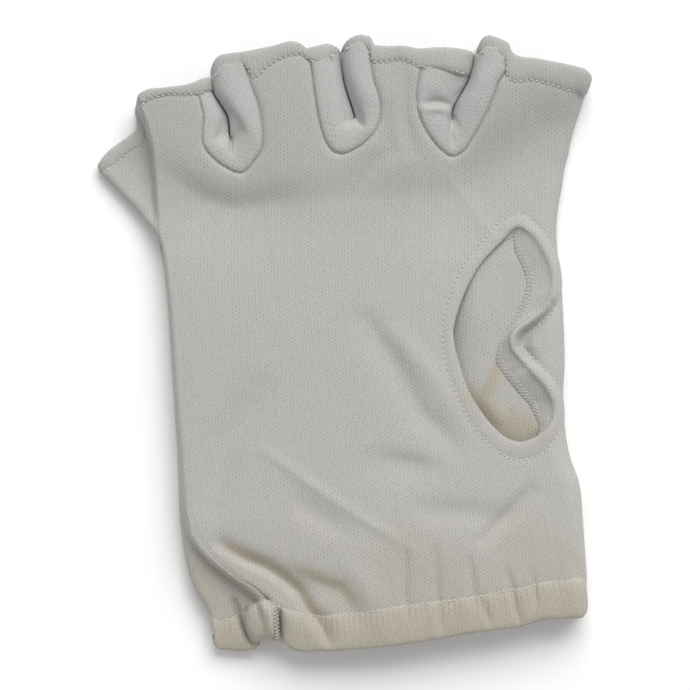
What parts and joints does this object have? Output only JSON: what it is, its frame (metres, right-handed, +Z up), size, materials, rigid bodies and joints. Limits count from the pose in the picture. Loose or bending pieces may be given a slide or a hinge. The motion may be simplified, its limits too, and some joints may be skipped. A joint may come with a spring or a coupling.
{
  "type": "fingerless cotton glove",
  "caption": "Right-hand fingerless glove of thin cotton knit, lying palm up, with four hemmed finger tubes, a hemmed thumb hole, a side seam and a gathered wrist casing.",
  "frame": {"origin": "middle of the bounding box, on the surface that the back of the glove lies on", "axes": "+Y towards the fingers, +X across the palm to the index side, +Z up out of the palm"},
  "size_m": [0.1191, 0.1481, 0.0127],
  "materials": {
    "cotton_knit": "matte",
    "strip_knit": "matte",
    "hem_knit": "matte",
    "casing_knit": "matte",
    "seam_thread": "matte"
  },
  "bodies": {
    "root": {"palm_panel": "cotton_knit", "back_panel": "cotton_knit", "side_seam": "seam_thread", "fourchette_little_ring": "strip_knit", "fourchette_ring_middle": "strip_knit", "fourchette_middle_index": "strip_knit", "finger_hem_little": "hem_knit", "finger_hem_ring": "hem_knit", "finger_hem_middle": "hem_knit", "finger_hem_index": "hem_knit", "thumb_hem": "hem_knit", "wrist_casing": "casing_knit"}
  },
  "joints": []
}
